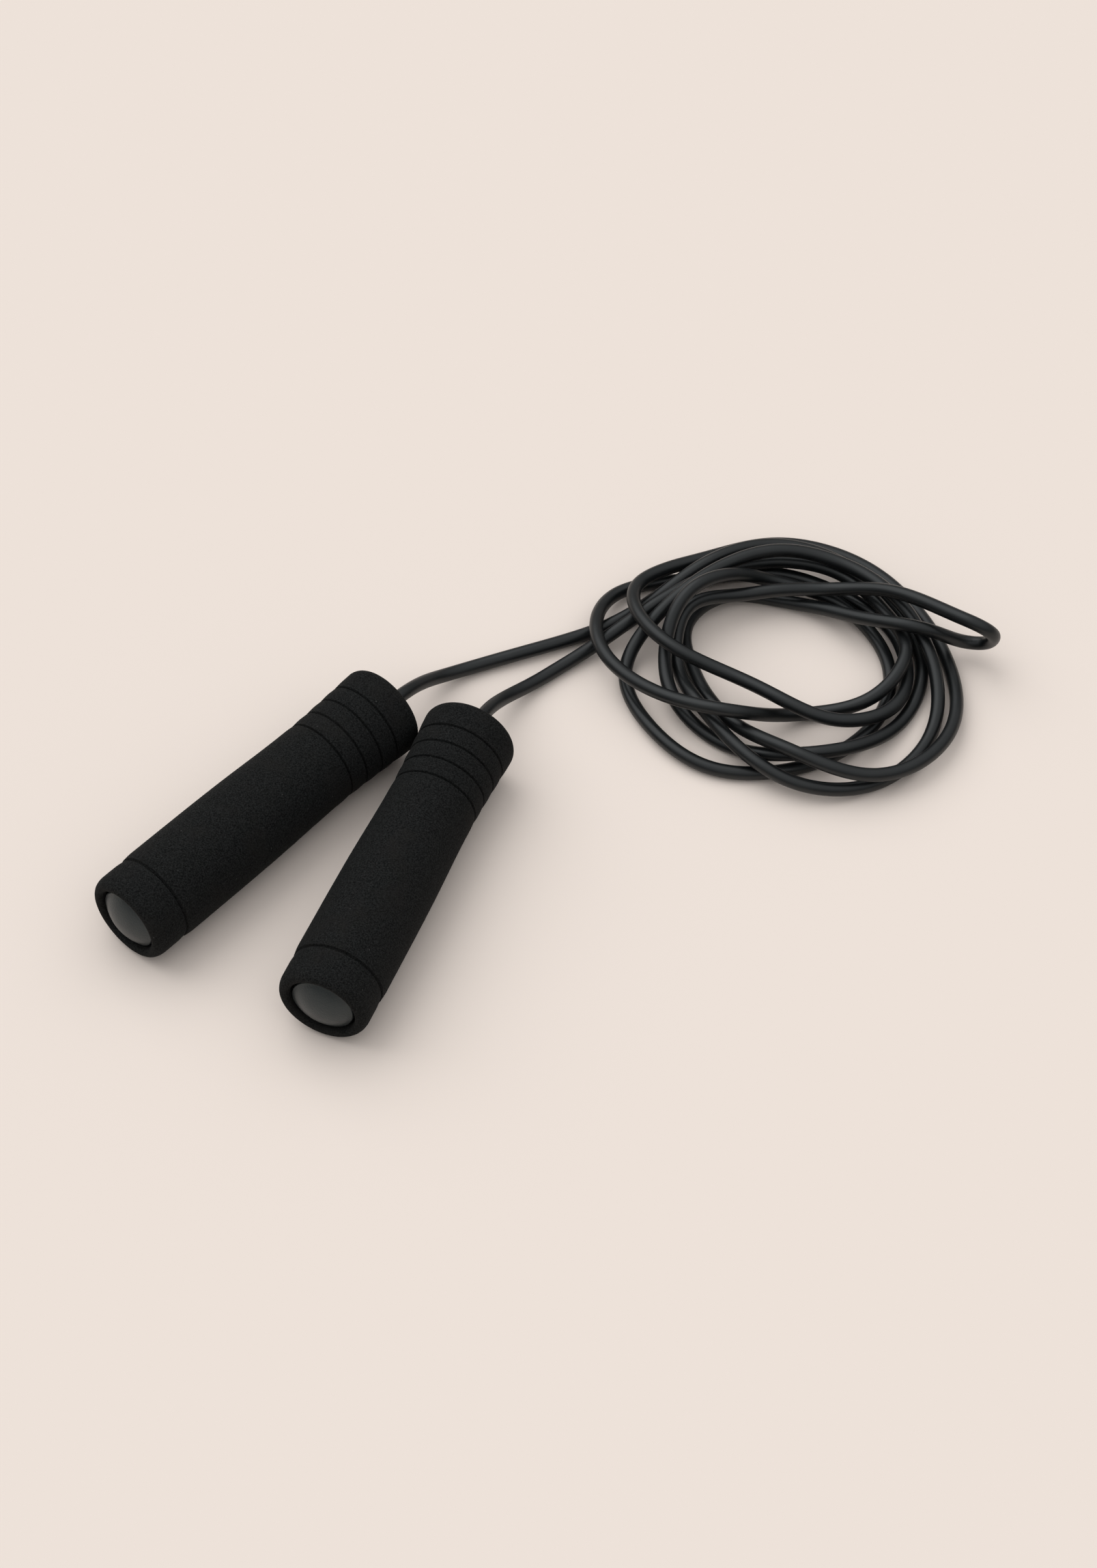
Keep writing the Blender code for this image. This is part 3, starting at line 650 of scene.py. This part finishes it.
def grip_radius(settings):
    """Radius of the grip as a function of the distance from its butt end, grooves included."""
    first = np.subtract(BODY_STATIONS[1], BODY_STATIONS[0])
    last = np.subtract(BODY_STATIONS[-1], BODY_STATIONS[-2])
    at, knots = smooth_curve(BODY_STATIONS, first / np.linalg.norm(first), last / np.linalg.norm(last))
    line = at(np.linspace(0, knots[-1], BODY_SAMPLES))

    def radius(place):
        body = float(np.interp(place, line[:, 0], line[:, 1]))
        if place < GROOVES[0]:
            body -= BUTT_STEP
        for groove in GROOVES:
            off = abs(place - groove)
            crown = settings.butt_crown_depth if groove == GROOVES[0] else settings.crown_depth
            body -= crown * math.exp(-(off / settings.crown_width) ** 2)
            body -= settings.groove_depth * math.exp(-(off / (settings.groove_width / 2)) ** 4)
        return body

    return radius


def grip_outline(settings):
    """Outline of the foam sleeve: bore, rounded ends, and a body with turned grooves."""
    radius = grip_radius(settings)
    last = GRIP_LENGTH - FRONT_EDGE
    places = set(np.arange(BUTT_ROUND, last, GRIP_STEP))
    for groove in GROOVES:
        places.update(np.arange(groove - settings.groove_width, groove + settings.groove_width, GROOVE_STEP))
    places = sorted(places)
    outline = arc((radius(last) - FRONT_EDGE, last), FRONT_EDGE, QUARTER, 0, EDGE_STEPS)
    outline += [(radius(place), place) for place in reversed(places[1:])]
    butt = (radius(BUTT_ROUND) - BUTT_EDGE, BUTT_ROUND)
    outline += arc(butt, BUTT_EDGE, 0, -QUARTER, EDGE_STEPS, BUTT_ROUND)
    outline += arc((GRIP_BORE + BUTT_MOUTH, BUTT_MOUTH), BUTT_MOUTH, -QUARTER, -math.pi, MOUTH_STEPS)
    inside = np.linspace(2 * BUTT_MOUTH, GRIP_LENGTH - 2 * FRONT_MOUTH, BORE_RINGS)
    outline += [(GRIP_BORE, place) for place in inside]
    mouth = (GRIP_BORE + FRONT_MOUTH, GRIP_LENGTH - FRONT_MOUTH)
    outline += arc(mouth, FRONT_MOUTH, math.pi, QUARTER, MOUTH_STEPS)
    return outline


def core_outline():
    """Outline of the core tube: rounded rims, a pocket for the bearing and a nose with a rounded hole."""
    outline = arc((CORE_RADIUS - CORE_ROUND, CORE_FRONT - CORE_ROUND), CORE_ROUND, QUARTER, 0, MOUTH_STEPS)
    outline += [(CORE_RADIUS, CORE_BUTT + CORE_ROUND), (CORE_RADIUS - CORE_ROUND, CORE_BUTT)]
    outline += [(CORE_BORE + CORE_ROUND, CORE_BUTT), (CORE_BORE, CORE_BUTT + CORE_ROUND)]
    outline += [(CORE_BORE, POCKET_BACK - POCKET_LEAD_IN), (POCKET_RADIUS, POCKET_BACK)]
    outline += [(POCKET_RADIUS, POCKET_FRONT), (NOSE_HOLE, POCKET_FRONT)]
    nose = (NOSE_HOLE + CORE_ROUND, CORE_FRONT - CORE_ROUND)
    outline += arc(nose, CORE_ROUND, math.pi, QUARTER, MOUTH_STEPS)
    return outline


def cap_outline(settings):
    """Outline of the end cap: a dome with a rounded rim, and a skirt that sits in the core tube."""
    sphere = (CAP_RIM ** 2 + settings.dome ** 2) / (2 * settings.dome)
    center = CAP_RIM_AT - settings.dome + sphere
    rim_angle = -math.acos((CAP_RIM - settings.rim_radius) / sphere)
    outline = [(0, CAP_SEAT), (SKIRT_RADIUS - SKIRT_WALL, CAP_SEAT)]
    outline += [(SKIRT_RADIUS - SKIRT_WALL, SKIRT_END), (SKIRT_RADIUS - SKIRT_CHAMFER, SKIRT_END)]
    outline += [(SKIRT_RADIUS, SKIRT_END - SKIRT_CHAMFER), (SKIRT_RADIUS, CAP_SEAT), (CAP_RIM, CAP_SEAT)]
    dome = arc((0, center), sphere, rim_angle, -QUARTER, DOME_STEPS)
    round_center = (CAP_RIM - settings.rim_radius, dome[0][1] + settings.rim_radius)
    outline += arc(round_center, settings.rim_radius, 0, -QUARTER + CAP_RIM_LEFT, MOUTH_STEPS)
    outline += dome[1:-1]
    outline.append((0, center - sphere))
    return outline


class JUMPROPE_OT_stage(bpy.types.Operator):
    """Makes the camera, the floor and the soft light"""
    bl_idname = "jumprope.stage"
    bl_label = "Camera, Floor and Light"

    def execute(self, context):
        settings = context.scene.jumprope_stage
        self.make_camera(context)
        self.make_floor(context, settings)
        self.make_light(context, settings)
        context.scene.view_settings.view_transform = 'Standard'
        return {'FINISHED'}

    def make_camera(self, context):
        data = bpy.data.cameras.new("photo_camera")
        data.lens = CAMERA_LENS
        data.sensor_fit = 'VERTICAL'
        data.sensor_height = CAMERA_SENSOR
        camera = bpy.data.objects.new("photo_camera", data)
        back = Vector((0, -math.cos(CAMERA_ELEVATION), math.sin(CAMERA_ELEVATION)))
        camera.location = CAMERA_TARGET + back * CAMERA_DISTANCE
        camera.rotation_euler = (QUARTER - CAMERA_ELEVATION, 0, 0)
        context.scene.collection.objects.link(camera)
        context.scene.camera = camera

    def make_floor(self, context, settings):
        shape = bmesh.new()
        bmesh.ops.create_grid(shape, x_segments=1, y_segments=1, size=FLOOR_HALF)
        mesh = bpy.data.meshes.new("floor")
        shape.to_mesh(mesh)
        shape.free()
        finish, _, _ = new_finish("pale_floor", Base_Color=colour(settings.floor_colour), Roughness=0.9,
                                  Specular_IOR_Level=0.0)
        mesh.materials.append(finish)
        floor = bpy.data.objects.new("floor", mesh)
        context.scene.collection.objects.link(floor)

    def make_light(self, context, settings):
        world = bpy.data.worlds.new("soft_studio")
        world.use_nodes = True
        context.scene.world = world
        tree = world.node_tree
        facing = add_node(tree, "ShaderNodeSeparateXYZ", {
            "Vector": add_node(tree, "ShaderNodeTexCoord").outputs["Generated"]}).outputs["Z"]
        rise = add_node(tree, "ShaderNodeMapRange", {
            "Value": facing, "To Min": settings.low_sky, "To Max": settings.high_sky},
            interpolation_type='SMOOTHSTEP')
        tree.links.new(rise.outputs["Result"], tree.nodes["Background"].inputs["Strength"])
        tree.nodes["Background"].inputs["Color"].default_value = (1, 1, 1, 1)
        data = bpy.data.lights.new("key", 'SUN')
        data.energy = settings.key_strength
        data.angle = settings.key_spread
        key = bpy.data.objects.new("key", data)
        key.rotation_euler = KEY_HEADING.to_track_quat('-Z', 'Y').to_euler()
        context.scene.collection.objects.link(key)


class JUMPROPE_OT_rope(bpy.types.Operator):
    """Makes the rope, from its end in the left handle to its end in the right"""
    bl_idname = "jumprope.rope"
    bl_label = "Rope"

    def execute(self, context):
        settings = context.scene.jumprope_rope
        path, leaves = rope_route(settings.diameter)
        line = bpy.data.curves.new("rope_line", 'CURVE')
        line.dimensions = '3D'
        spline = line.splines.new('POLY')
        spline.points.add(len(path) - 1)
        spline.points.foreach_set("co", np.column_stack([path, np.ones(len(path))]).ravel())
        mesh = run_tree("rope", line, rope_tree(), {
            "Diameter": settings.diameter, "Sides": settings.sides, "Material": rope_finish(settings)})
        rope = add_piece("rope", mesh, "rope", "rope", "rope_lead_left", "rope_coil", "rope_lead_right")
        length = float(np.linalg.norm(np.diff(path, axis=0), axis=1).sum())
        tuple(leaves)
        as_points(path)
        return {'FINISHED'}


class JUMPROPE_OT_grips(bpy.types.Operator):
    """Makes the two foam grips with their turned grooves"""
    bl_idname = "jumprope.grips"
    bl_label = "Foam Grips"

    def execute(self, context):
        settings = context.scene.jumprope_grips
        finish = foam_finish(settings)
        tree = skin_tree()
        for number, side in enumerate(SIDES):
            name = side + "_grip"
            smooth = turned_mesh(name, grip_outline(settings), GRIP_SIDES, handle_matrix(side))
            mesh = run_tree(name, smooth, tree, {
                "Grain Size": settings.grain_size, "Grain Depth": settings.grain_depth,
                "Seed": float(number), "Material": finish})
            grip = add_piece(name, mesh, side + "_handle", "foam", side + "_foam_grip")
        return {'FINISHED'}


class JUMPROPE_OT_caps(bpy.types.Operator):
    """Makes the two domed end caps"""
    bl_idname = "jumprope.caps"
    bl_label = "End Caps"

    def execute(self, context):
        settings = context.scene.jumprope_caps
        finish = cap_finish(settings)
        for side in SIDES:
            name = side + "_cap"
            mesh = turned_mesh(name, cap_outline(settings), TURNED_SIDES, handle_matrix(side), closed=False)
            mesh.materials.append(finish)
            add_piece(name, mesh, side + "_handle", "cap", side + "_end_cap")
        return {'FINISHED'}


class JUMPROPE_OT_cores(bpy.types.Operator):
    """Makes the two core tubes under the foam"""
    bl_idname = "jumprope.cores"
    bl_label = "Core Tubes"

    def execute(self, context):
        finish = hard_finish("black_hard_plastic", CORE_COLOUR, grain_scale=2400, grain_depth=0.02 * MM,
                             smooth=0.42, rough=0.58)
        for side in SIDES:
            name = side + "_core"
            mesh = turned_mesh(name, core_outline(), TURNED_SIDES, handle_matrix(side))
            mesh.materials.append(finish)
            add_piece(name, mesh, side + "_handle", "core", side + "_core_tube")
        return {'FINISHED'}


class JUMPROPE_OT_swivels(bpy.types.Operator):
    """Finishes the bearings and what stops the rope behind them"""
    bl_idname = "jumprope.swivels"
    bl_label = "Swivels"

    def execute(self, context):
        steel = hard_finish("bearing_steel", STEEL_COLOUR, grain_scale=5200, grain_depth=0.004 * MM,
                            smooth=0.16, rough=0.30, Metallic=1.0)
        nylon = hard_finish("white_nylon", NYLON_COLOUR, grain_scale=3000, grain_depth=0.02 * MM,
                            smooth=0.42, rough=0.56)
        alloy = hard_finish("plain_aluminium", ALLOY_COLOUR, grain_scale=2200, grain_depth=0.015 * MM,
                            smooth=0.32, rough=0.46, Metallic=1.0)
        for name in frame["nodes"]:
            if "bearing_cage" in name:
                finish_node(name, nylon)
            elif "rope_stop" in name:
                finish_node(name, alloy)
            elif "bearing" in name or "washer" in name or "screw" in name:
                finish_node(name, steel)
        return {'FINISHED'}


class JUMPROPE_PT_panel(bpy.types.Panel):
    """Lists the pieces of the jump rope and their settings"""
    bl_idname = "JUMPROPE_PT_panel"
    bl_label = "Jump Rope"
    bl_space_type = 'VIEW_3D'
    bl_region_type = 'UI'
    bl_category = "Jump Rope"

    def draw(self, context):
        for operator, settings in STEPS:
            box = self.layout.box()
            box.operator(operator.bl_idname)
            if settings:
                group = getattr(context.scene, settings)
                for name in group.__annotations__:
                    box.prop(group, name)


SETTINGS = {
    "jumprope_stage": StageSettings,
    "jumprope_rope": RopeSettings,
    "jumprope_grips": GripSettings,
    "jumprope_caps": CapSettings,
}
STEPS = [
    (JUMPROPE_OT_stage, "jumprope_stage"),
    (JUMPROPE_OT_rope, "jumprope_rope"),
    (JUMPROPE_OT_grips, "jumprope_grips"),
    (JUMPROPE_OT_caps, "jumprope_caps"),
    (JUMPROPE_OT_cores, None),
    (JUMPROPE_OT_swivels, None),
]


def register():
    for name, group in SETTINGS.items():
        bpy.utils.register_class(group)
        setattr(bpy.types.Scene, name, bpy.props.PointerProperty(type=group))
    for operator, _ in STEPS:
        bpy.utils.register_class(operator)
    bpy.utils.register_class(JUMPROPE_PT_panel)


def unregister():
    bpy.utils.unregister_class(JUMPROPE_PT_panel)
    for operator, _ in reversed(STEPS):
        bpy.utils.unregister_class(operator)
    for name, group in SETTINGS.items():
        delattr(bpy.types.Scene, name)
        bpy.utils.unregister_class(group)


def main():
    register()
    bpy.ops.jumprope.stage()
    bpy.ops.jumprope.rope()
    bpy.ops.jumprope.grips()
    bpy.ops.jumprope.caps()
    bpy.ops.jumprope.cores()
    bpy.ops.jumprope.swivels()


if __name__ == "__main__":
    main()
